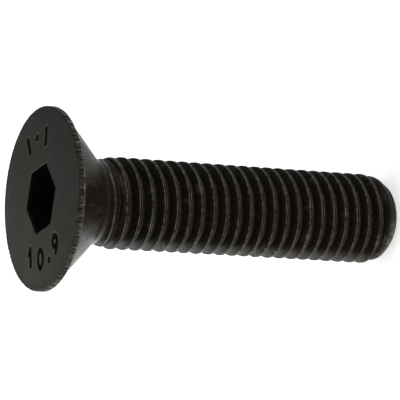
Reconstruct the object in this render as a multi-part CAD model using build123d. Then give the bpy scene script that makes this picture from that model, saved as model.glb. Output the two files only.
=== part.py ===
"""Countersunk socket screw, M12 x 1.75 x 50, threaded to the head.

Millimetres. The origin is the centre of the head's flat face. +Z points out of
that face, +X points to a corner of the socket, and the shank runs down -Z.
Depths are measured from the face, downwards.
"""

from build123d import *
from math import ceil, cos, pi, radians, sin, tan
import os

# Head
head_radius = 11.75
face_edge_chamfer = 0.1  # between the flat face and the rim
rim_height = 0.9  # straight rim between the face and its lower edge
rim_overhang = 0.44  # how far the rim stands out past the top of the seat
rim_underside_drop = 0.08  # from the rim's lower edge inwards to the seat
seat_half_angle = 45.0

# Socket
socket_across_flats = 8.05
socket_depth = 4.6  # from the face to the conical bottom, along a flat
socket_point_angle = 120.0  # full angle of the conical bottom
socket_lead_in = 0.12  # chamfer round the mouth

# Neck and shank
screw_length = 49.7  # nominal 50, inside its tolerance of 0.5 either way
blank_radius = 5.41  # the plain blank that the thread is rolled on: the neck keeps it
neck_length = 1.42  # from the seat's end, as if sharp, to the first trace of the thread
neck_fillet_radius = 2.2

# Right-hand thread, with flat crests and roots
thread_pitch = 1.75
crest_height = 0.49  # above the blank, where ridge and groove are equally wide
root_depth = 0.48  # below the blank
flank_half_angle = 30.0
crest_lag = 2.6  # from the first trace of the thread to a crest on the +X side
crest_run_out = 1.3  # length over which the crests grow to their full radius
root_run_out = 2.6  # length over which the groove sinks to its full depth
chords_per_turn = 27  # the helices are drawn in straight chords, within 0.04 of a true helix

# Point: the last crests are cut down by a slender taper, then by a blunt one
tip_radius = 4.24
tip_edge_chamfer = 0.25
point_half_angle = 45.0
slender_taper_end_radius = 5.28
slender_taper_half_angle = 22.5

crest_radius = blank_radius + crest_height
root_radius = blank_radius - root_depth
seat_radius = head_radius - rim_overhang
seat_start_depth = rim_height + rim_underside_drop
seat_end_depth = seat_start_depth + (seat_radius - blank_radius) / tan(radians(seat_half_angle))
thread_start_depth = seat_end_depth + neck_length


def turned(*outline):
    """The solid turned from a half section, given as radius and depth, closed along the axis."""
    points = [(radius, -depth) for radius, depth in outline]
    section = make_face(Polyline(*points, close=True))
    return revolve(Plane.XZ * section, Axis.Z)


def corner_edge(solid, radius, depth):
    """The circle on which a turned solid has the corner at this radius and depth."""
    return solid.edges().filter_by(GeomType.CIRCLE).sort_by_distance((radius, 0, -depth))[0]


def head_and_neck():
    """The head without its socket, down to a taper that fills the groove where it runs out."""
    core_radius = root_radius / 2
    core_depth = thread_start_depth + (blank_radius - core_radius) * root_run_out / root_depth
    solid = turned(
        (0, 0),
        (head_radius, 0),
        (head_radius, rim_height),
        (seat_radius, seat_start_depth),
        (blank_radius, seat_end_depth),
        (blank_radius, thread_start_depth),
        (core_radius, core_depth),
        (0, core_depth),
    )
    solid = fillet(corner_edge(solid, blank_radius, seat_end_depth), neck_fillet_radius)
    return chamfer(corner_edge(solid, head_radius, 0), face_edge_chamfer)


def shank_envelope():
    """The space that the thread's crests keep to: tapers at the neck and at the point."""
    outer_radius = crest_radius + thread_pitch
    taper_length = crest_run_out * (outer_radius - blank_radius) / crest_height
    blunt_length = (slender_taper_end_radius - tip_radius) / tan(radians(point_half_angle))
    slender_length = (outer_radius - slender_taper_end_radius) / tan(radians(slender_taper_half_angle))
    solid = turned(
        (0, thread_start_depth),
        (blank_radius, thread_start_depth),
        (outer_radius, thread_start_depth + taper_length),
        (outer_radius, screw_length - blunt_length - slender_length),
        (slender_taper_end_radius, screw_length - blunt_length),
        (tip_radius, screw_length),
        (0, screw_length),
    )
    return chamfer(corner_edge(solid, tip_radius, screw_length), tip_edge_chamfer)


def thread_profile():
    """Radius and rise of the corners of one pitch, from one crest down to the next."""
    flank_slope = tan(radians(flank_half_angle))
    half_crest = thread_pitch / 4 - crest_height * flank_slope
    half_root = thread_pitch / 4 - root_depth * flank_slope
    return [
        (crest_radius, half_crest),
        (crest_radius, -half_crest),
        (root_radius, half_root - thread_pitch / 2),
        (root_radius, -half_root - thread_pitch / 2),
        (crest_radius, half_crest - thread_pitch),
    ]


def threaded_bar():
    """A bar with the thread all along it, longer than the shank at both ends."""
    top_depth = thread_start_depth + crest_lag - thread_pitch * ceil(crest_lag / thread_pitch + 1)
    turns = ceil((screw_length - top_depth) / thread_pitch) + 1
    last = turns * chords_per_turn
    profile = thread_profile()

    def on_helix(corner, step):
        radius, rise = profile[corner]
        angle = 2 * pi * step / chords_per_turn
        height = rise - top_depth - thread_pitch * step / chords_per_turn
        return (radius * cos(angle), -radius * sin(angle), height)

    def triangle(*corners):
        return Face(Wire.make_polygon(corners))

    faces = []
    for step in range(last):
        for corner in range(len(profile) - 1):
            a = on_helix(corner, step)
            b = on_helix(corner + 1, step)
            c = on_helix(corner + 1, step + 1)
            d = on_helix(corner, step + 1)
            faces.append(triangle(a, b, c))
            faces.append(triangle(a, c, d))

    across = range(len(profile))
    top_rim = [on_helix(corner, 0) for corner in across]
    top_rim += [on_helix(0, step) for step in range(chords_per_turn - 1, 0, -1)]
    bottom_rim = [on_helix(corner, last) for corner in across]
    bottom_rim += [on_helix(len(profile) - 1, step) for step in range(last - 1, last - chords_per_turn, -1)]
    top_centre = (0, 0, thread_pitch - top_depth)
    bottom_centre = (0, 0, -top_depth - thread_pitch * (turns + 2))
    for centre, rim in ((top_centre, top_rim), (bottom_centre, bottom_rim)):
        for a, b in zip(rim, rim[1:] + rim[:1]):
            faces.append(triangle(centre, a, b))
    return Solid(Shell(faces))


def socket_punch():
    """What the socket's punch fills: a hexagon with a conical end and a lead-in."""
    apothem = socket_across_flats / 2
    cone_slope = 1 / tan(radians(socket_point_angle / 2))
    cone_base_radius = 2 * apothem
    cone_base_depth = socket_depth - (cone_base_radius - apothem) * cone_slope
    apex_depth = socket_depth + apothem * cone_slope
    hexagon = RegularPolygon(apothem, 6, major_radius=False)
    point = turned((0, 0), (cone_base_radius, 0), (cone_base_radius, cone_base_depth), (0, apex_depth))
    pointed_bar = extrude(hexagon, -apex_depth) & point
    wide_mouth = offset(hexagon, socket_lead_in, kind=Kind.INTERSECTION)
    lead_in = loft([wide_mouth, Plane.XY.offset(-socket_lead_in) * hexagon])
    return pointed_bar + lead_in


def build_screw():
    shank = threaded_bar() & shank_envelope()
    return head_and_neck() - socket_punch() + shank


screw = build_screw()
os.makedirs("parts", exist_ok=True)
export_step(screw, "parts/screw.step")
print("screw", round(screw.volume, 1), "mm3,", len(screw.faces()), "faces")
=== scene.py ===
"""Looks of the countersunk socket screw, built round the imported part.

Shapes are worked out in millimetres from the frame's own sizes and scaled to metres when the
mesh is made. The origin is the centre of the head's flat face and the shank runs down -Z.
Depths are measured from the face, downwards; angles are from +X, anticlockwise from above.
"""

from math import cos, pi, radians, sin, sqrt, tan

import bpy
import numpy as np
from mathutils import Matrix, Vector
from mathutils.geometry import delaunay_2d_cdt


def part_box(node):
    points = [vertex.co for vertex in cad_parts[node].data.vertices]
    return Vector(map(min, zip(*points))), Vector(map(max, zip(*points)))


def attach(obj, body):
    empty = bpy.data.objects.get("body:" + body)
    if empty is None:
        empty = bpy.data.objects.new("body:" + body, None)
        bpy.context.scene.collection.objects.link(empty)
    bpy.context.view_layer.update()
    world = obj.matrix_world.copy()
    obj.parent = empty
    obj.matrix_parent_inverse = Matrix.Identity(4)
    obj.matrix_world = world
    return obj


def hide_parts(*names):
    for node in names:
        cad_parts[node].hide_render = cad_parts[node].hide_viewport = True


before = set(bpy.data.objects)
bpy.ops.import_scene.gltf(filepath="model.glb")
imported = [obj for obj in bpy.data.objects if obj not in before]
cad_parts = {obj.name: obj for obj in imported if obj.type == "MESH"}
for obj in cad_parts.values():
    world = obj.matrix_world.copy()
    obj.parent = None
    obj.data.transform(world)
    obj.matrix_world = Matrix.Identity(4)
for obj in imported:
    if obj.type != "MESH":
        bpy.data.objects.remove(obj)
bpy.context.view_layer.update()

MM = 0.001
TURN = 2 * pi

# ---------------------------------------------------------------- sizes, mm

low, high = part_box("screw")
HEAD_RADIUS = high.x / MM
SCREW_LENGTH = -low.z / MM

# Head
FACE_DEPTH = 0.02  # the face lies this far under the raised lips of its marks
FACE_EDGE_RADIUS = 11.28  # where the face starts to round over into the rim
RIM_TOP = 0.12  # depth at which that rounding ends
RIM_BOTTOM = 0.90
RIM_OVERHANG = 0.44  # how far the rim stands out past the top of the seat
RIM_CLEARANCE = 0.012  # the rim stays this far inside the part's own radius
SEAT_DEPTH = 0.98  # where the seat starts, under the rim
SEAT_RADIUS = HEAD_RADIUS - RIM_OVERHANG
NECK_RADIUS = 5.41
NECK_FILLET = 2.2
SEAT_CORNER_DEPTH = SEAT_DEPTH + SEAT_RADIUS - NECK_RADIUS  # 45 degree seat, as if sharp
NECK_END = SEAT_CORNER_DEPTH - 0.58  # from here on the mesh's rows turn into the thread's

# Socket
ACROSS_FLATS = 8.05
SOCKET_DEPTH = 4.6
SOCKET_POINT_SLOPE = 1 / tan(radians(60))  # of its conical floor
MOUTH_ROUNDING = 0.10

# Thread
PITCH = 1.75
CREST_RADIUS = 5.95
ROOT_RADIUS = 4.93
CREST_DEPTH = 10.9  # depth at which a crest crosses the +X side
RUN_OUT_DEPTHS = [7.15, 7.35, 7.8, 8.3, 8.7, 9.2, 9.7, 10.5]
RUN_OUT_CRESTS = [0.0, 0.07, 0.14, 0.20, 0.28, 0.42, 0.54, 0.75]  # how far crests may stand out
RUN_OUT_GROOVES = [0.0, 0.05, 0.20, 0.42, 0.58, 0.69, 0.74, 0.75]  # how far grooves may sink in
THREAD_TOP = RUN_OUT_DEPTHS[0]
FIRST_CREST_LAG = 0.42  # the first crest is pushed this far towards the point
LAG_DEPTHS = (8.3, 9.4)  # between these depths the crests come back to their usual places

# Point: radii left by its two tapers, and the path over its blunt end
POINT_DEPTHS = [46.2, 46.9, 47.8, 48.66, 49.3]
POINT_RADII = [5.98, 5.88, 5.62, 5.27, 4.63]
BLUNT_DEPTH = 48.9  # below this the mesh follows the end path
END_PATH = [  # radius and depth
    (5.00, 48.9),
    (4.66, 49.24),
    (4.38, 49.49),
    (4.16, 49.63),
    (3.85, 49.7),
    (3.3, 49.7),
    (1.2, 49.7),
]

# Mesh density, points per turn. thin_out joins rings whose numbers are multiples of each other
RIM_STEPS = 1152
SEAT_STEPS = 288
SHANK_STEPS = 144
SOCKET_STEPS = 160
SEAT_ROWS = 22
WEDGE_ROWS = 16  # between the plain rings and the thread's rows


# ---------------------------------------------------------------- mesh building

class Skin:
    """Points and faces of one closed mesh. Rows run from the socket's floor, over the face and
    down the shank to the point; in a ring, points run anticlockwise from +X. Each point also has
    a finish, from 0 to 1: how pale it is, with light painted across the face; how worn, with a
    painted highlight on the point; how dark it is from painted shade in hollows, grooves and
    marks;
    and how rough from forging the steel is there."""

    FINISHES = ("pale", "wear", "hollow", "forged")

    def __init__(self):
        self.points = []
        self.finish = {name: [] for name in self.FINISHES}
        self.faces = []

    def add(self, points, **finish):
        """Adds points, an array of x, y, z, and returns their numbers as an array."""
        points = np.asarray(points, float).reshape(-1, 3)
        first = len(self.points)
        self.points.extend(points.tolist())
        for name in self.FINISHES:
            values = np.broadcast_to(finish.get(name, 0.0), len(points))
            self.finish[name].extend(values.tolist())
        return np.arange(first, first + len(points))

    def ring(self, radius, depth, steps, **finish):
        """Adds a ring; radius and depth are numbers or one value for each step."""
        angle = ring_angles(steps)
        depths = np.broadcast_to(depth, steps)
        points = np.stack([radius * np.cos(angle), radius * np.sin(angle), -depths], axis=1)
        return self.add(points, **finish)

    def bridge(self, before, after):
        """Quads between two rings of as many points."""
        quads = np.stack([after, np.roll(after, -1), np.roll(before, -1), before], axis=1)
        self.faces.extend(quads.tolist())

    def thin_out(self, fine, coarse, outwards=False):
        """Joins a fine ring to the coarse one after it, or with outwards set before it."""
        share = len(fine) // len(coarse)
        middle = share // 2
        for i, here in enumerate(coarse):
            there = coarse[(i + 1) % len(coarse)]
            part = [fine[(share * i + j) % len(fine)] for j in range(share + 1)]
            fan = [[here if j < middle else there, part[j + 1], part[j]] for j in range(share)]
            fan.append([here, there, part[middle]])
            self.faces.extend([face[::-1] for face in fan] if outwards else fan)

    def cap(self, ring, depth, last):
        """Closes a ring with a fan round a point on the axis."""
        centre = self.add([(0, 0, -depth)])[0]
        for a, b in zip(ring, np.roll(ring, -1)):
            self.faces.append([b, a, centre] if last else [a, b, centre])

    def join_columns(self, left, right):
        """Quads between two columns of the shank, the second one thread step on from the first."""
        for a, b, c, d in zip(left, left[1:], right[1:], right):
            self.faces.append([c, b, a, d])

    def zip_up(self, left, right):
        """Triangles between two such columns with different numbers of points."""
        i = j = 0
        while i < len(left) - 1 or j < len(right) - 1:
            step_left = j == len(right) - 1
            if i < len(left) - 1 and not step_left:
                step_left = self.points[left[i + 1]][2] >= self.points[right[j + 1]][2]
            if step_left:
                self.faces.append([right[j], left[i + 1], left[i]])
                i += 1
            else:
                self.faces.append([right[j + 1], left[i], right[j]])
                j += 1


def ring_angles(steps):
    return np.arange(steps) * TURN / steps


def smooth_step(low_end, high_end, value):
    share = np.clip((value - low_end) / (high_end - low_end), 0, 1)
    return share * share * (3 - 2 * share)


def smaller(a, b, blend):
    """The smaller of two values, rounded where they meet."""
    share = np.clip(0.5 + 0.5 * (b - a) / blend, 0, 1)
    return b + (a - b) * share - blend * share * (1 - share)


def larger(a, b, blend):
    return -smaller(-a, -b, blend)


def waves(seed, count, fewest, most, along):
    """A smooth uneven function of angle and depth, about -1 to 1, that closes round the turn.
    It has from fewest to most waves in a turn, and up to along of them in 6 mm of depth."""
    pick = np.random.default_rng(seed)
    around = pick.integers(fewest, most + 1, count)
    rise = pick.uniform(-along, along, count)
    phase = pick.uniform(0, TURN, count)
    size = pick.uniform(0.5, 1, count)
    size /= sqrt(2 * float(np.sum(size * size)))

    def value(angle, depth):
        angle, depth = np.broadcast_arrays(angle, depth)
        total = np.zeros(angle.shape)
        for turns, slope, start, weight in zip(around, rise, phase, size):
            total += weight * np.sin(turns * angle + slope * depth + start)
        return total

    return value


def turned_away(angle, place):
    """Difference between two angles, from minus half a turn to half a turn."""
    return (angle - place + pi) % TURN - pi


# ---------------------------------------------------------------- socket

SOCKET_FLOOR_ROWS = (0.08, 0.3, 0.55, 0.78, 0.94, 1.0)  # shares of the way out to the wall
SOCKET_WALL_ROWS = (0.04, 0.2, 0.4, 0.6, 0.8, 0.93)  # shares of the way up to its top
SOCKET_WALL_TOP = FACE_DEPTH + 0.25
# Round the mouth's edge: degrees turned, painted shade and wear
MOUTH_ROWS = ((0, 0.8, 0.0), (30, 0.4, 0.2), (60, 0.0, 0.4), (90, 0.0, 0.0))


def hexagon_radius(angle):
    """Distance from the axis to a hexagon one across its inner radius, a corner on +X."""
    local = (angle + pi / 6) % (pi / 3) - pi / 6
    return 1 / np.cos(pi / 6 - np.abs(local))


def build_socket(skin):
    """The hexagon socket, from its conical floor up to the rounded mouth."""
    angle = ring_angles(SOCKET_STEPS)
    apothem = ACROSS_FLATS / 2
    wall = apothem * hexagon_radius(angle)
    apex = SOCKET_DEPTH + apothem * SOCKET_POINT_SLOPE
    foot = apex - wall * SOCKET_POINT_SLOPE

    # The floor and the walls get painted shade, darkest at the floor and fading up towards the
    # mouth
    ring = None
    for share in SOCKET_FLOOR_ROWS:
        depth = apex - share * wall * SOCKET_POINT_SLOPE
        new = skin.ring(share * wall, depth, SOCKET_STEPS, hollow=1.0)
        if ring is None:
            skin.cap(new, apex, last=False)
        else:
            skin.bridge(ring, new)
        ring = new
    for share in SOCKET_WALL_ROWS:
        depth = foot + (SOCKET_WALL_TOP - foot) * share
        new = skin.ring(wall, depth, SOCKET_STEPS, hollow=0.9 - 0.5 * share)
        skin.bridge(ring, new)
        ring = new
    mouth_tone_and_light = face_tone_and_painted_light(apothem * np.cos(angle), apothem * np.sin(angle))
    for turn, hollow, wear in MOUTH_ROWS:
        outwards = MOUTH_ROUNDING * (1 - cos(radians(turn)))
        depth = FACE_DEPTH + MOUTH_ROUNDING * (1 - sin(radians(turn)))
        edge = (apothem + outwards) * hexagon_radius(angle)
        new = skin.ring(edge, depth, SOCKET_STEPS, pale=mouth_tone_and_light, hollow=hollow, wear=wear)
        skin.bridge(ring, new)
        ring = new
    return ring


# ---------------------------------------------------------------- face and its marks

def drawn(strokes, centre, width, height, lean):
    """Strokes from a unit square, set on the face. Their tops lean this way from +X."""
    right = np.array([sin(lean), -cos(lean)])
    up = np.array([cos(lean), sin(lean)])
    placed = []
    for stroke in strokes:
        line = np.array(stroke, float) - 0.5
        placed.append(np.array(centre) + line[:, :1] * width * right + line[:, 1:] * height * up)
    return placed


def oval(x, y, half_width, half_height, start=0.0, end=360.0, count=28):
    turn = np.radians(np.linspace(start, end, count))
    return np.stack([x + half_width * np.cos(turn), y + half_height * np.sin(turn)], axis=1)


ONE = [[(0.1, 0.74), (0.55, 1.0), (0.5, 0.0)]]
NOUGHT = [oval(0.5, 0.5, 0.5, 0.5)]
NINE = [oval(0.5, 0.70, 0.5, 0.30), oval(0.2, 0.70, 0.8, 0.70, 0, -72, 14)]
DOT = [[(0.5, 0.48), (0.5, 0.52)]]
BAR = [[(0.5, 0.0), (0.5, 1.0)]]

# The strength class, and three plain punch marks opposite: lines and half width
MARKS = [
    (drawn(ONE, (-7.85, 0.50), 0.95, 2.1, radians(26)), 0.38),
    (drawn(NOUGHT, (-7.20, -2.60), 1.45, 2.3, radians(22)), 0.36),
    (drawn(DOT, (-6.64, -5.25), 0.5, 0.5, 0.0), 0.40),
    (drawn(NINE, (-4.35, -6.35), 1.30, 2.2, radians(35)), 0.36),
    (drawn(BAR, (5.40, 5.95), 0.5, 1.7, radians(42)), 0.42),
    (drawn(DOT, (7.05, 3.80), 0.5, 0.5, 0.0), 0.42),
    (drawn(BAR, (7.85, 1.15), 0.5, 1.7, radians(14)), 0.42),
]
MARK_DEPTH = 0.42
MARK_REACH = 1.15  # a mark's sides end this many half widths from its line
MARK_HOLLOWNESS = 1.6  # 1 gives straight sides, more gives fuller ones
LIP_WIDTH = 0.10
LIP_HEIGHT = FACE_DEPTH * 0.9
LIP_WEAR = 0.3
FACE_TONE_AND_PAINTED_LIGHT = (0.53, -0.034, 0.012)  # at the axis, and its change per millimetre of x and of y, which paints light across the face

# Mesh of the face: spacing of its points, and how near and how far from the marks it is used
FACE_SPACINGS = ((0.065, 0.0, 0.6), (0.15, 0.6, 1.1), (0.5, 1.1, 99.0))
SUPPORT_INSET = 0.10
BORDER_INSET = 0.30
SPREAD_CLEARANCE = 0.2  # between those points and the rings round them


def distance_to_lines(points, lines):
    """Distance from each point to the nearest of some polylines."""
    best = np.full(len(points), np.inf)
    for line in lines:
        for a, b in zip(line[:-1], line[1:]):
            span = b - a
            share = np.clip((points - a) @ span / (span @ span), 0, 1)
            gap = points - a - share[:, None] * span
            best = np.minimum(best, np.hypot(gap[:, 0], gap[:, 1]))
    return best


def face_relief(points):
    """Depth of the face at some points; how pale it is there, with its painted light; how dark the
    painted shade in its marks makes it; and how worn it is.
    """
    depth = np.full(len(points), FACE_DEPTH)
    hollow = np.zeros(len(points))
    wear = np.zeros(len(points))
    pale = face_tone_and_painted_light(points[:, 0], points[:, 1])
    for lines, half_width in MARKS:
        away = distance_to_lines(points, lines)
        reach = half_width * MARK_REACH
        inside = 1 - np.clip(away / reach, 0, 1) ** MARK_HOLLOWNESS
        lip = np.exp(-(((away - reach - LIP_WIDTH) / LIP_WIDTH) ** 2))
        depth = np.maximum(depth, FACE_DEPTH + MARK_DEPTH * inside) - LIP_HEIGHT * lip
        # Painted shade inside the marks
        hollow = np.maximum(hollow, smooth_step(0.0, 0.3, inside))
        wear = np.maximum(wear, lip * LIP_WEAR)
    return np.maximum(depth, 0.001), pale, hollow, wear


def face_tone_and_painted_light(x, y):
    """How pale the face is, with light painted on it: lighter towards -X and towards +Y."""
    middle, with_x, with_y = FACE_TONE_AND_PAINTED_LIGHT
    return np.clip(middle + with_x * x + with_y * y, 0, 1)


def flat_distance(points):
    """Distance of points on the face from the axis, measured square to the socket's flats."""
    angle = np.arctan2(points[:, 1], points[:, 0])
    return np.hypot(points[:, 0], points[:, 1]) / hexagon_radius(angle)


def spread_points(inner, outer):
    """Points all over the face, closest together round the marks."""
    spread = []
    for spacing, nearest, furthest in FACE_SPACINGS:
        count = int(outer / spacing) + 1
        columns, rows = np.arange(-count, count + 1), np.arange(-2 * count, 2 * count + 1)
        column, row = np.meshgrid(columns, rows)
        x = (column + 0.5 * (row % 2)) * spacing
        y = row * spacing * sqrt(0.75)
        grid = np.stack([x.ravel(), y.ravel()], axis=1)
        radius = np.hypot(grid[:, 0], grid[:, 1])
        grid = grid[(radius < outer) & (flat_distance(grid) > inner)]
        away = np.full(len(grid), np.inf)
        for lines, _ in MARKS:
            away = np.minimum(away, distance_to_lines(grid, lines))
        spread.append(grid[(away >= nearest) & (away < furthest)])
    return np.concatenate(spread)


def build_face(skin, mouth):
    """The flat face between the socket's mouth and the ring that the rim starts from."""
    angle = ring_angles(RIM_STEPS)
    # The face's painted light, dimmed towards its edge
    pale = face_tone_and_painted_light(FACE_EDGE_RADIUS * np.cos(angle), FACE_EDGE_RADIUS * np.sin(angle))
    rim = skin.ring(FACE_EDGE_RADIUS, FACE_DEPTH, RIM_STEPS, pale=pale * 0.6)
    support_radius = FACE_EDGE_RADIUS - SUPPORT_INSET
    support = skin.ring(support_radius, FACE_DEPTH, RIM_STEPS, pale=pale * 0.75)
    pale = pale[:: RIM_STEPS // SEAT_STEPS]
    border = skin.ring(FACE_EDGE_RADIUS - BORDER_INSET, FACE_DEPTH, SEAT_STEPS, pale=pale)
    skin.bridge(support, rim)
    skin.thin_out(support, border, outwards=True)

    rings = np.concatenate([mouth, border])
    fixed = np.array([skin.points[number][:2] for number in rings])
    mouth_flat = ACROSS_FLATS / 2 + MOUTH_ROUNDING
    outer = FACE_EDGE_RADIUS - (BORDER_INSET + SPREAD_CLEARANCE)
    spread = spread_points(mouth_flat + SPREAD_CLEARANCE, outer)
    edges = [(i, (i + 1) % len(mouth)) for i in range(len(mouth))]
    edges += [(len(mouth) + i, len(mouth) + (i + 1) % len(border)) for i in range(len(border))]
    flat = [Vector(point) for point in np.concatenate([fixed, spread]).tolist()]
    corners, _, triangles, sources, _, _ = delaunay_2d_cdt(flat, edges, [], 0, 1e-7)

    corners = np.array([corner[:] for corner in corners])
    depth, pale, hollow, wear = face_relief(corners)
    added = skin.add(np.column_stack([corners, -depth]), pale=pale, hollow=hollow, wear=wear)
    number = {i: int(n) for i, n in enumerate(added)}
    for i, source in enumerate(sources):
        if source and source[0] < len(rings):
            number[i] = int(rings[source[0]])
    for triangle in triangles:
        a, b, c = corners[list(triangle)]
        if flat_distance(((a + b + c) / 3)[None])[0] > mouth_flat:
            left_turn = np.cross(b - a, c - a) > 0
            skin.faces.append([number[i] for i in (triangle if left_turn else triangle[::-1])])
    return rim


# ---------------------------------------------------------------- rim

RIM_TURNS = (18, 36, 54, 72, 90)  # degrees turned round its upper edge
RIM_ROWS = (0.2, 0.4, 0.6, 0.8, 1.0)  # shares of the way down to the lip
LIP_START = 0.24  # above the rim's bottom
# The rim's bright lower lip: distance out from the rim, distance below its bottom, and wear
LIP_ROWS = (
    (0.0, -0.14, 0.8),
    (0.01, -0.04, 1.0),
    (-0.03, -0.005, 1.0),
    (-0.09, 0.02, 0.5),
    (-0.25, 0.05, 0.0),
)
NOTCHES = 122
pick = np.random.default_rng(7)
notch_place = (np.arange(NOTCHES) + pick.uniform(-0.32, 0.32, NOTCHES)) * TURN / NOTCHES
notch_sunk = pick.uniform(0.04, 0.17, NOTCHES)
notch_half_width = pick.uniform(0.09, 0.18, NOTCHES) / HEAD_RADIUS
notch_lean = pick.uniform(-0.25, 0.25, NOTCHES) / HEAD_RADIUS
notch_top = pick.uniform(-0.10, 0.22, NOTCHES)
notch_bottom = pick.uniform(0.66, 0.84, NOTCHES)
rim_unevenness = waves(seed=21, count=14, fewest=3, most=24, along=0)
rim_wear = waves(seed=22, count=24, fewest=30, most=200, along=0)
RIM_ROUGHNESS = 0.012
RIM_WORN, RIM_WORN_CHANGE = 0.65, 0.45
# Painted shade in the rim's notches, darker the deeper they are
NOTCH_SHADE = 0.8
NOTCH_DARKEST_SHADE_DEPTH = 0.12  # notches this deep get the darkest painted shade


def rim_notches(angle, depth):
    """How deep the notches that the die left run along the rim."""
    sunk = np.zeros(np.broadcast(angle, depth).shape)
    for i in range(NOTCHES):
        away = turned_away(angle, notch_place[i] + notch_lean[i] * (depth - 0.5))
        across = np.exp(-(np.abs(away / notch_half_width[i]) ** 2.6))
        down = smooth_step(notch_top[i], notch_top[i] + 0.14, depth)
        up = 1 - smooth_step(notch_bottom[i] - 0.08, notch_bottom[i] + 0.06, depth)
        sunk = np.maximum(sunk, notch_sunk[i] * across * down * up)
    return sunk


def build_rim(skin, face_edge):
    """From the face's edge over the notched rim to its underside."""
    angle = ring_angles(RIM_STEPS)
    uneven = RIM_ROUGHNESS * rim_unevenness(angle, 0.0)
    wear_and_highlight_share = RIM_WORN + RIM_WORN_CHANGE * rim_wear(angle, 0.0)
    # The face's painted light carries on round the rim, a little dimmer
    pale = face_tone_and_painted_light(HEAD_RADIUS * np.cos(angle), HEAD_RADIUS * np.sin(angle)) * 0.8
    rim_radius = np.minimum(HEAD_RADIUS - 0.02 + uneven, HEAD_RADIUS - RIM_CLEARANCE)
    rows = []  # radius, depth and wear
    for turn in RIM_TURNS:
        outwards, down = sin(radians(turn)), 1 - cos(radians(turn))
        radius = FACE_EDGE_RADIUS + (rim_radius - FACE_EDGE_RADIUS) * outwards
        rows.append((radius, FACE_DEPTH + (RIM_TOP - FACE_DEPTH) * down, 0.05))
    for share in RIM_ROWS:
        depth = RIM_TOP + (RIM_BOTTOM - LIP_START - RIM_TOP) * share
        rows.append((rim_radius, depth, 0.15 + 0.35 * share))
    for outwards, down, wear in LIP_ROWS:
        rows.append((rim_radius + outwards, RIM_BOTTOM + down, wear))
    ring = face_edge
    for radius, depth, wear in rows:
        sunk = rim_notches(angle, depth)
        hollow = np.clip(sunk / NOTCH_DARKEST_SHADE_DEPTH, 0, 1) * NOTCH_SHADE
        wear = np.clip(wear * wear_and_highlight_share, 0, 1) * (1 - hollow)
        new = skin.ring(radius - sunk, depth, RIM_STEPS, pale=pale, wear=wear, hollow=hollow)
        skin.bridge(ring, new)
        ring = new
    return ring


# ---------------------------------------------------------------- seat and neck

seat_dents = waves(seed=13, count=18, fewest=2, most=9, along=1.5)
seat_roughness = waves(seed=14, count=40, fewest=14, most=60, along=9.0)
DENT_SIZE = 0.035
FORGING_SIZE = 0.006
BLANK_ALLOWANCE = 0.02  # the seat and the neck lie this far inside the part's own


def neck_profile(depth):
    """Radius of the seat, its fillet and the neck at a depth."""
    seat = SEAT_RADIUS - (depth - SEAT_DEPTH)
    setback = NECK_FILLET * tan(radians(22.5))
    arc_top = SEAT_CORNER_DEPTH - setback * cos(radians(45))
    arc_end = SEAT_CORNER_DEPTH + setback
    inside = np.clip((arc_end - depth) / NECK_FILLET, 0, 1)
    arc = NECK_RADIUS + NECK_FILLET * (1 - np.sqrt(1 - inside * inside))
    return np.where(depth < arc_top, seat, np.where(depth < arc_end, arc, NECK_RADIUS))


def above_neck(depth):
    """1 on the seat, 0 on the neck."""
    return 1 - smooth_step(SEAT_CORNER_DEPTH - 1.3, SEAT_CORNER_DEPTH + 0.1, depth)


def blank_radius(angle, depth):
    """Radius of the dented seat and the neck, before the thread was rolled."""
    uneven = DENT_SIZE * seat_dents(angle, depth) + FORGING_SIZE * seat_roughness(angle, depth)
    under_rim = smooth_step(SEAT_DEPTH, SEAT_DEPTH + 0.6, depth)
    return neck_profile(depth) - BLANK_ALLOWANCE + uneven * under_rim * above_neck(depth)


def seat_ring(skin, depth, steps):
    radius = blank_radius(ring_angles(steps), depth)
    return skin.ring(radius, depth, steps, forged=above_neck(depth))


def build_seat(skin, rim):
    """The countersunk seat and the neck, down to the rows that the thread starts from."""
    # Each of the first two rings has half as many points as the one above it
    ring = seat_ring(skin, SEAT_DEPTH + 0.10, RIM_STEPS // 2)
    skin.thin_out(rim, ring)
    new = seat_ring(skin, SEAT_DEPTH + 0.22, SEAT_STEPS)
    skin.thin_out(ring, new)
    ring = new
    for depth in np.linspace(SEAT_DEPTH + 0.38, SEAT_CORNER_DEPTH - 1.0, SEAT_ROWS):
        new = seat_ring(skin, depth, SEAT_STEPS)
        skin.bridge(ring, new)
        ring = new
    new = seat_ring(skin, SEAT_CORNER_DEPTH - 0.85, SHANK_STEPS)
    skin.thin_out(ring, new)
    ring = new
    for depth in (NECK_END - 0.12, NECK_END):
        new = seat_ring(skin, depth, SHANK_STEPS)
        skin.bridge(ring, new)
        ring = new
    return ring


# ---------------------------------------------------------------- threaded shank

# One pitch of the profile, from root to root: distance along the axis from the crest's middle,
# radius, wear and painted shade. The rolled crest has two edges with a shallow valley between
# them;
# painted shade darkens the valley, the flanks and the roots.
PROFILE = [
    (-0.875, 4.926, 0.05, 0.3),
    (-0.735, 4.935, 0.05, 0.4),
    (-0.680, 5.010, 0.06, 0.1),
    (-0.190, 5.815, 0.07, 0.0),
    (-0.125, 5.935, 0.9, 0.0),
    (-0.075, 5.955, 0.9, 0.0),
    (-0.030, 5.915, 0.0, 1.0),
    (0.120, 5.900, 0.0, 1.0),
    (0.165, 5.945, 0.8, 0.0),
    (0.205, 5.920, 0.5, 0.0),
    (0.260, 5.830, 0.0, 0.8),
    (0.520, 5.365, 0.03, 0.4),
    (0.700, 5.010, 0.04, 0.3),
    (0.745, 4.935, 0.12, 0.0),
    (0.800, 4.926, 0.10, 0.1),
]
OFFSETS, RADII, WEARS, PAINTED_SHADES = (np.array(column) for column in zip(*PROFILE))
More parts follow.
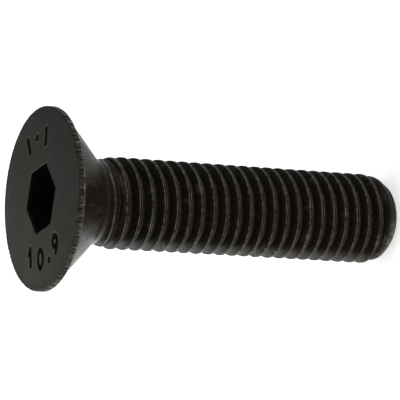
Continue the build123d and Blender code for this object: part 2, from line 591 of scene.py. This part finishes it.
# Where the thread starts its crest is wide and low, and the mesh rows gather at its two edges
FIRST_OFFSETS = [-0.875, -0.60, -0.36, -0.22, -0.12, -0.06, 0.02, 0.14, 0.28, 0.42]
FIRST_OFFSETS += [0.54, 0.62, 0.68, 0.75, 0.82]
FIRST_CRESTS = (8.0, 9.6)  # depths between which the rows move to their usual places
# Painted shade on the neck just above the thread, between these depths
NECK_SHADE_DEPTHS = (THREAD_TOP - 0.9, THREAD_TOP - 0.3)
NECK_SHADE = 0.6
THREAD_STARTS = (THREAD_TOP - 0.1, THREAD_TOP + 0.25)
GROOVE_STARTS = (THREAD_TOP + 0.5, THREAD_TOP + 1.0)
FINISH_CHANGES = (THREAD_TOP + 1.4, THREAD_TOP + 3.0)  # from the run-out's to the profile's own
BAND_DEPTH = 0.11  # of the hollow between those two edges
BAND_SIDES = (0.10, 0.24)  # where the hollow's sides start and end, above the low crest
RIDGE_WIDTH = 0.13
# Painted shade in the run-out's grooves
GROOVE_SHADE = 0.9

# Wear of the point, between lengths past BLUNT_DEPTH: of the edge round its flat end; and a
# painted highlight on one side, which fades between two angles from its middle
TIP_WEAR = 0.12
TIP_WEAR_STARTS, TIP_WEAR_ENDS = (0.15, 0.45), (0.75, 1.2)
TIP_PAINTED_HIGHLIGHT = 0.8
TIP_HIGHLIGHT_ANGLE = radians(-116)
TIP_HIGHLIGHT_SPREAD = (0.2, 0.9)
TIP_HIGHLIGHT_STARTS, TIP_HIGHLIGHT_ENDS = (-1.25, -0.45), (0.35, 0.7)

crest_unevenness = waves(seed=11, count=24, fewest=3, most=40, along=9.0)
CREST_ROUGHNESS = 0.006
NICK_DEPTH = 0.06
NICK_WEAR = 1.6
NICKS = 170
pick = np.random.default_rng(5)
nick_angle = pick.uniform(0, TURN, NICKS)
nick_depth = pick.uniform(THREAD_TOP + 2.5, SCREW_LENGTH - 1.5, NICKS)
nick_size = pick.uniform(0.12, 0.40, NICKS)


def profile_place(angle, depth):
    """Distance along the axis from the nearest crest's middle, downwards."""
    lag = FIRST_CREST_LAG * (1 - smooth_step(*LAG_DEPTHS, depth))
    turns = (depth - lag - CREST_DEPTH) / PITCH + angle / TURN
    return (turns - np.floor(turns + 0.5)) * PITCH


def nicks(angle, depth):
    """How much of each small knock reaches this place, from 0 to 1."""
    share = np.zeros(angle.shape)
    for place, level, size in zip(nick_angle, nick_depth, nick_size):
        across = turned_away(angle, place) * CREST_RADIUS
        share = np.maximum(share, np.exp(-(across**2 + (depth - level) ** 2) / size**2))
    return share


def shank_surface(angle, depth):
    """Radius, wear and painted shade of the threaded shank."""
    place = profile_place(angle, depth)
    radius = np.interp(place, OFFSETS, RADII, period=PITCH)
    wear = np.interp(place, OFFSETS, WEARS, period=PITCH)
    hollow = np.interp(place, OFFSETS, PAINTED_SHADES, period=PITCH)
    height = np.clip((radius - ROOT_RADIUS) / (CREST_RADIUS - ROOT_RADIUS), 0, 1)
    knocked = nicks(angle, depth) * height**8
    uneven = CREST_ROUGHNESS * height * (1 + crest_unevenness(angle, depth))
    radius = radius - uneven - NICK_DEPTH * knocked
    wear = np.clip(wear + NICK_WEAR * knocked, 0, 1)

    # Where the thread runs out, its crest is a wide low band between two worn ridges
    neck = blank_radius(angle, depth)
    crest_limit = neck + np.interp(depth, RUN_OUT_DEPTHS, RUN_OUT_CRESTS)
    root_limit = neck - np.interp(depth, RUN_OUT_DEPTHS, RUN_OUT_GROOVES)
    cut = radius - crest_limit
    started = smooth_step(*THREAD_STARTS, depth)
    band = BAND_DEPTH * smooth_step(*BAND_SIDES, cut) * started
    ridge = np.exp(-((cut / RIDGE_WIDTH) ** 2))
    threaded = larger(smaller(radius, crest_limit, 0.03) - band, root_limit, 0.08)
    full = smooth_step(*FINISH_CHANGES, depth)
    radius = neck + (threaded - neck) * started
    # Painted shade in the run-out's grooves and on the neck above them
    groove = smooth_step(0.03, 0.12, -cut)
    groove = groove * smooth_step(*GROOVE_STARTS, depth)
    above = NECK_SHADE * smooth_step(*NECK_SHADE_DEPTHS, depth) * (1 - started)
    wear = wear * full + ridge * started * (1 - full)
    hollow = np.maximum(hollow, GROOVE_SHADE * groove * (1 - full)) * started + above
    return radius, wear, hollow


def add_shank_points(skin, angle, travel):
    """Adds points of the shank at a travel: the depth down to BLUNT_DEPTH, and past it the length
    along the end path."""
    angle, travel = np.broadcast_arrays(np.asarray(angle, float), np.asarray(travel, float))
    depth = np.minimum(travel, BLUNT_DEPTH)
    radius, wear, hollow = shank_surface(angle, depth)
    limit = np.interp(depth, POINT_DEPTHS, POINT_RADII)
    cut = smooth_step(-0.1, 0.1, radius - limit)
    radius = smaller(radius, limit, 0.10)
    past = np.maximum(travel - BLUNT_DEPTH, 0)
    end_radius, end_depth = end_path(past)
    end_radius = end_radius - (limit - radius) * (1 - smooth_step(0, 0.6, past))
    radius = np.where(past > 0, end_radius, radius)
    depth = np.where(past > 0, end_depth, depth)
    points = np.stack([radius * np.cos(angle), radius * np.sin(angle), -depth], axis=-1)
    tip_ring = TIP_WEAR + TIP_WEAR * crest_unevenness(angle, depth)
    tip_ring = tip_ring * smooth_step(*TIP_WEAR_STARTS, past)
    tip_ring = tip_ring * (1 - smooth_step(*TIP_WEAR_ENDS, past))
    # A painted highlight on one side of the point, carried in its wear
    highlight_distance = np.abs(turned_away(angle, TIP_HIGHLIGHT_ANGLE))
    painted_highlight = TIP_PAINTED_HIGHLIGHT * (1 - smooth_step(*TIP_HIGHLIGHT_SPREAD, highlight_distance))
    along = travel - BLUNT_DEPTH
    painted_highlight *= smooth_step(*TIP_HIGHLIGHT_STARTS, along) * (1 - smooth_step(*TIP_HIGHLIGHT_ENDS, past))
    wear = np.clip(wear * (1 - cut) + tip_ring + painted_highlight, 0, 1)
    hollow = hollow * (1 - cut) * (past == 0)
    return skin.add(points, wear=wear, hollow=hollow, forged=above_neck(depth))


end_corners = np.array(END_PATH)
end_lengths = np.concatenate([[0], np.cumsum(np.hypot(*np.diff(end_corners, axis=0).T))])


def end_path(length):
    """Radius and depth at a length along the path over the blunt end."""
    radius = np.interp(length, end_lengths, end_corners[:, 0])
    return radius, np.interp(length, end_lengths, end_corners[:, 1])


def build_shank(skin, neck):
    """The threaded shank. Its rows follow the helix, so crests and roots stay sharp, and at each
    end a wedge of rows meets a plain ring."""
    steps = SHANK_STEPS
    count = len(PROFILE)
    path_end = BLUNT_DEPTH + float(end_lengths[-1])
    root_depth = CREST_DEPTH + OFFSETS[0]
    first_travel = root_depth - PITCH * int((root_depth - NECK_END - 0.15) / PITCH)
    last = (int((path_end - 0.4 - first_travel) / PITCH) - 1) * steps

    step = np.arange(last + 1)
    angle = -TURN * step / steps
    travel = first_travel + PITCH * step / steps
    grid = np.zeros((last + 1, count + 1), int)
    crest_travel = travel - OFFSETS[0]
    usual = smooth_step(*FIRST_CRESTS, crest_travel)
    for row in range(count):
        offset = FIRST_OFFSETS[row] + (OFFSETS[row] - FIRST_OFFSETS[row]) * usual
        grid[:, row] = add_shank_points(skin, angle, crest_travel + offset)
    grid[: last - steps + 1, count] = grid[steps:, 0]
    tail = step[last - steps + 1 :]
    grid[tail, count] = add_shank_points(skin, angle[tail], travel[tail] + PITCH)
    quads = np.stack([grid[1:, 1:], grid[:-1, 1:], grid[:-1, :-1], grid[1:, :-1]], axis=-1)
    skin.faces.extend(quads.reshape(-1, 4).tolist())

    wedge = np.arange(1, WEDGE_ROWS) / WEDGE_ROWS

    def column(step, top, bottom, above, below):
        inner = add_shank_points(skin, -TURN * step / steps, top + (bottom - top) * wedge)
        return np.concatenate([[above], inner, [below]])

    columns = [column(k, NECK_END, travel[k], neck[-k % steps], grid[k, 0]) for k in range(steps)]
    for left, right in zip(columns, columns[1:]):
        skin.join_columns(left, right)
    skin.zip_up(columns[-1], np.concatenate([columns[0], grid[0, 1:]]))

    end = add_shank_points(skin, ring_angles(steps), path_end)
    columns = []
    for k in range(last - steps + 1, last + 1):
        columns.append(column(k, travel[k] + PITCH, path_end, grid[k, count], end[-k % steps]))
    for left, right in zip(columns, columns[1:]):
        skin.join_columns(left, right)
    skin.zip_up(np.concatenate([grid[last, :count], columns[-1]]), columns[0])
    skin.cap(end, SCREW_LENGTH, last=True)


# ---------------------------------------------------------------- the screw

def build_screw():
    skin = Skin()
    mouth = build_socket(skin)
    face_edge = build_face(skin, mouth)
    rim = build_rim(skin, face_edge)
    neck = build_seat(skin, rim)
    build_shank(skin, neck)

    mesh = bpy.data.meshes.new("screw_body")
    mesh.from_pydata((np.array(skin.points) * MM).tolist(), [], skin.faces)
    mesh.shade_smooth()
    for name, values in skin.finish.items():
        layer = mesh.attributes.new(name, "FLOAT", "POINT")
        layer.data.foreach_set("value", np.array(values, np.float32))
    screw = bpy.data.objects.new("screw_body", mesh)
    bpy.context.scene.collection.objects.link(screw)
    return screw


# ---------------------------------------------------------------- material

SEAT_MIDDLE = 9  # radius at which the seat's streaks have their stated width


class Shading:
    """Short ways to add nodes to a material."""

    def __init__(self, name):
        self.material = bpy.data.materials.new(name)
        self.material.use_nodes = True
        self.tree = self.material.node_tree
        self.shader = self.tree.nodes["Principled BSDF"]

    def node(self, kind, **settings):
        node = self.tree.nodes.new("ShaderNode" + kind)
        for name, value in settings.items():
            setattr(node, name, value)
        return node

    def link(self, source, target):
        """Joins an output to an input, or sets the input if the source is a plain value."""
        if isinstance(source, bpy.types.NodeSocket):
            self.tree.links.new(source, target)
        else:
            target.default_value = source

    def finish(self, name):
        return self.node("Attribute", attribute_name=name).outputs["Fac"]

    def place(self):
        return self.node("TexCoord").outputs["Object"]

    def noise_at(self, place, scale, detail, roughness):
        noise = self.node("TexNoise")
        self.link(place, noise.inputs["Vector"])
        noise.inputs["Scale"].default_value = scale
        noise.inputs["Detail"].default_value = detail
        noise.inputs["Roughness"].default_value = roughness
        return noise.outputs["Fac"]

    def noise(self, scale, detail, roughness):
        """Fine unevenness from 0 to 1; scale is in waves per millimetre."""
        return self.noise_at(self.place(), scale / MM, detail, roughness)

    def streaks(self, across, along):
        """Unevenness drawn out down the seat; the scales are in waves per millimetre."""
        place = self.place()
        around = self.node("VectorMath", operation="MULTIPLY")
        self.link(place, around.inputs[0])
        around.inputs[1].default_value = (1, 1, 0)
        outwards = self.node("VectorMath", operation="NORMALIZE")
        self.link(around.outputs["Vector"], outwards.inputs[0])
        down = self.node("VectorMath", operation="MULTIPLY")
        self.link(place, down.inputs[0])
        down.inputs[1].default_value = (0, 0, along / MM)
        spot = self.node("VectorMath", operation="MULTIPLY_ADD")
        self.link(outwards.outputs["Vector"], spot.inputs[0])
        spot.inputs[1].default_value = (SEAT_MIDDLE * across, SEAT_MIDDLE * across, 0)
        self.link(down.outputs["Vector"], spot.inputs[2])
        return self.noise_at(spot.outputs["Vector"], 1.0, 4.0, 0.6)

    def spread(self, value, low_in, high_in, low_out=0.0, high_out=1.0):
        """Stretches a range of values to another one."""
        node = self.node("MapRange")
        ends = {"From Min": low_in, "From Max": high_in, "To Min": low_out, "To Max": high_out}
        for name, number in ends.items():
            node.inputs[name].default_value = number
        self.link(value, node.inputs["Value"])
        return node.outputs["Result"]

    def times(self, a, b):
        node = self.node("Math", operation="MULTIPLY")
        self.link(a, node.inputs[0])
        self.link(b, node.inputs[1])
        return node.outputs[0]

    def mix(self, share, a, b):
        """Mixes two colours, or two numbers."""
        colours = isinstance(b, tuple)
        node = self.node("Mix", data_type="RGBA" if colours else "FLOAT")
        ends = [socket for socket in node.inputs if socket.enabled and socket.name in "AB"]
        self.link(share, [s for s in node.inputs if s.enabled and s.name == "Factor"][0])
        self.link(a, ends[0])
        self.link(b, ends[1])
        return [socket for socket in node.outputs if socket.enabled][0]


METALLIC = 0.5
SPECULAR = 0.22
TINT = 0.25
# Roughness, where the grain or the streaks are lowest and highest
DARK_GLOSS = (0.28, 0.38)
FACE_GLOSS = (0.42, 0.56)
FORGED_GLOSS = (0.26, 0.50)
BUMP_DISTANCE = 0.02 * MM
BUMP_STRENGTH = 0.35
STREAK_HEIGHT = 0.7
THREAD_BLACK = (0.0165, 0.0130, 0.0088, 1)
FACE_GREY = (0.070, 0.067, 0.060, 1)
FORGED_BROWN = (0.018, 0.012, 0.007, 1)
# Grey of worn steel, also used for the painted highlight on the point
WORN_AND_HIGHLIGHT_GREY = (0.30, 0.28, 0.245, 1)
# Dark of the random pits, and of the painted shade in hollows, grooves and marks
PIT_AND_SHADE_BLACK = (0.0125, 0.0092, 0.0058, 1)
STREAK_GREY = (0.075, 0.072, 0.066, 1)


def black_oxide():
    """Oiled black oxide: brown-black on the thread, satin grey on the face, paler where worn and
    where a highlight is painted on the point, darker where shade is painted in hollows, and with
    light painted across the face.
    """
    steel = Shading("black_oxide_steel")
    pale, wear, hollow, forged = (steel.finish(name) for name in Skin.FINISHES)
    blotches = steel.spread(steel.noise(0.25, 4.0, 0.6), 0.3, 0.7, 0.80, 1.20)
    patches = steel.spread(steel.noise(1.8, 3.0, 0.6), 0.35, 0.65)
    grain = steel.spread(steel.noise(6.0, 3.0, 0.6), 0.3, 0.7)

    pits = steel.spread(steel.noise(2.2, 2.0, 0.5), 0.70, 0.76, 0.0, 0.6)
    # Face grey, with the light painted across the face
    colour = steel.mix(steel.times(pale, blotches), THREAD_BLACK, FACE_GREY)
    colour = steel.mix(steel.times(pale, pits), colour, PIT_AND_SHADE_BLACK)
    streaks = steel.spread(steel.streaks(1.1, 0.35), 0.35, 0.68)
    colour = steel.mix(steel.times(forged, grain), colour, FORGED_BROWN)
    streaked = steel.times(forged, steel.spread(streaks, 0.5, 0.9, 0.0, 0.3))
    colour = steel.mix(streaked, colour, STREAK_GREY)
    # Wear, and the painted highlight on the point, in a paler grey
    wear_and_highlight_share = steel.times(wear, steel.spread(patches, 0, 1, 0.12, 0.8))
    colour = steel.mix(wear_and_highlight_share, colour, WORN_AND_HIGHLIGHT_GREY)
    # Painted shade in hollows, grooves and marks
    colour = steel.mix(hollow, colour, PIT_AND_SHADE_BLACK)
    steel.link(colour, steel.shader.inputs["Base Color"])

    dark_rough = steel.spread(grain, 0.0, 1.0, *DARK_GLOSS)
    rough = steel.mix(pale, dark_rough, steel.spread(grain, 0.0, 1.0, *FACE_GLOSS))
    rough = steel.mix(forged, rough, steel.spread(streaks, 0.0, 1.0, *FORGED_GLOSS))
    steel.link(rough, steel.shader.inputs["Roughness"])
    steel.shader.inputs["Metallic"].default_value = METALLIC
    steel.shader.inputs["Specular IOR Level"].default_value = SPECULAR
    steel.shader.inputs["Specular Tint"].default_value = (TINT, TINT, TINT, 1)

    bump = steel.node("Bump")
    bump.inputs["Distance"].default_value = BUMP_DISTANCE
    bump.inputs["Strength"].default_value = BUMP_STRENGTH
    height = steel.mix(forged, grain, steel.spread(streaks, 0.0, 1.0, 0.0, STREAK_HEIGHT))
    steel.link(height, bump.inputs["Height"])
    steel.link(bump.outputs["Normal"], steel.shader.inputs["Normal"])
    return steel.material


# ---------------------------------------------------------------- floor, light and camera

# In metres, as is all that follows but the camera
FLOOR_PROFILE = [(0.5, 0.0), (1.0, 0.0), (1.1, 0.008), (1.17, 0.04), (1.2, 0.12)]  # radius, rise
FLOOR_STEPS = 96
PAPER = (0.85, 0.85, 0.845, 1)
BACK_GLOW = 0.65  # of the floor behind the screw
FRONT_GLOW = 0.42  # of the floor this far in front of it
FRONT_REACH = 0.06
PAINTED_POOL_CENTRE = (-0.068, 0.030, low.z)  # a painted pool of light: the floor glows brighter here, fading out to its radius
PAINTED_POOL_RADIUS = 0.07
PAINTED_POOL_GLOW = 4.0

WORLD_GLOW = 0.15
LIGHT_DISTANCE = 0.7
# Name, degrees round from the camera's side, degrees up, size and power
SOFT_LIGHTS = [
    ("right_softbox", 65, 25, 0.35, 0.8),
    ("left_softbox", -65, 25, 0.35, 0.8),
    ("back_softbox", 180, 45, 0.5, 0.9),
    ("top_softbox", 0, 85, 0.5, 1.0),
    ("low_softbox", -148, 17, 0.35, 1.3),
]

# The photograph's camera, in millimetres and degrees
CAMERA_AZIMUTH = 11.5722
CAMERA_PLACE = (68.6773, -329.9026, 146.1050)
CAMERA_AIM = (1.0797, 0.2211, -22.4634)
CAMERA_UP = (0.971936, 0.228200, 0.057149)  # rolled, so that the screw lies across the picture
CAMERA_LENS = 261.87


def make_floor():
    """A round pale floor that curves up into a low wall. It glows like a light table, brighter
    behind the screw than in front, with a painted pool of light beside the screw.
    """
    points = [(0, 0, low.z)]
    for radius, rise in FLOOR_PROFILE:
        for angle in ring_angles(FLOOR_STEPS):
            points.append((radius * cos(angle), radius * sin(angle), low.z + rise))
    faces = [(0, 1 + i, 1 + (i + 1) % FLOOR_STEPS) for i in range(FLOOR_STEPS)]
    for row in range(len(FLOOR_PROFILE) - 1):
        for i in range(FLOOR_STEPS):
            a = 1 + row * FLOOR_STEPS + i
            b = 1 + row * FLOOR_STEPS + (i + 1) % FLOOR_STEPS
            faces.append((a, a + FLOOR_STEPS, b + FLOOR_STEPS, b))
    mesh = bpy.data.meshes.new("floor")
    mesh.from_pydata(points, [], faces)
    mesh.shade_smooth()
    floor = bpy.data.objects.new("floor", mesh)
    bpy.context.scene.collection.objects.link(floor)

    paper = Shading("pale_floor")
    paper.shader.inputs["Base Color"].default_value = PAPER
    paper.shader.inputs["Roughness"].default_value = 0.9
    paper.shader.inputs["Specular IOR Level"].default_value = 0.0
    paper.shader.inputs["Emission Color"].default_value = (1, 1, 1, 1)
    place = paper.place()
    along = paper.node("VectorMath", operation="DOT_PRODUCT")
    paper.link(place, along.inputs[0])
    front = radians(CAMERA_AZIMUTH)
    along.inputs[1].default_value = (sin(front), -cos(front), 0)
    glow = paper.spread(along.outputs["Value"], 0.0, FRONT_REACH, BACK_GLOW, FRONT_GLOW)
    offset = paper.node("VectorMath", operation="DISTANCE")
    paper.link(place, offset.inputs[0])
    offset.inputs[1].default_value = PAINTED_POOL_CENTRE
    painted_pool = paper.spread(offset.outputs["Value"], 0.0, PAINTED_POOL_RADIUS, PAINTED_POOL_GLOW, 0.0)
    total = paper.node("Math", operation="ADD")
    paper.link(glow, total.inputs[0])
    paper.link(painted_pool, total.inputs[1])
    paper.link(total.outputs[0], paper.shader.inputs["Emission Strength"])
    mesh.materials.append(paper.material)


def soft_light(name, azimuth, elevation, size, power):
    """A square softbox that faces the screw; azimuth is measured round from the camera's side."""
    turn, rise = radians(azimuth + CAMERA_AZIMUTH), radians(elevation)
    towards = Vector((sin(turn) * cos(rise), -cos(turn) * cos(rise), sin(rise)))
    light = bpy.data.lights.new(name, "AREA")
    light.size = size
    light.energy = power
    lamp = bpy.data.objects.new(name, light)
    lamp.location = Vector((0, 0, low.z / 2)) + towards * LIGHT_DISTANCE
    lamp.rotation_mode = "QUATERNION"
    lamp.rotation_quaternion = towards.to_track_quat("Z", "Y")
    bpy.context.scene.collection.objects.link(lamp)


def make_lights():
    world = bpy.data.worlds.new("studio")
    world.use_nodes = True
    background = world.node_tree.nodes["Background"]
    background.inputs["Color"].default_value = (1, 1, 1, 1)
    background.inputs["Strength"].default_value = WORLD_GLOW
    bpy.context.scene.world = world
    for settings in SOFT_LIGHTS:
        soft_light(*settings)


def make_camera():
    """Looks along the photograph's line of sight."""
    place = Vector(CAMERA_PLACE) * MM
    back = (place - Vector(CAMERA_AIM) * MM).normalized()
    right = Vector(CAMERA_UP).cross(back).normalized()
    turn = Matrix((right, back.cross(right), back)).transposed()
    data = bpy.data.cameras.new("camera")
    data.sensor_width = 36.0
    data.lens = CAMERA_LENS
    data.clip_start, data.clip_end = 0.01, 10.0
    camera = bpy.data.objects.new("camera", data)
    camera.location = place
    camera.rotation_mode = "QUATERNION"
    camera.rotation_quaternion = turn.to_quaternion()
    bpy.context.scene.collection.objects.link(camera)
    bpy.context.scene.camera = camera


screw = build_screw()
screw.data.materials.append(black_oxide())
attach(screw, "root")
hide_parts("screw")

make_floor()
make_lights()
make_camera()
bpy.context.scene.view_settings.view_transform = "Standard"
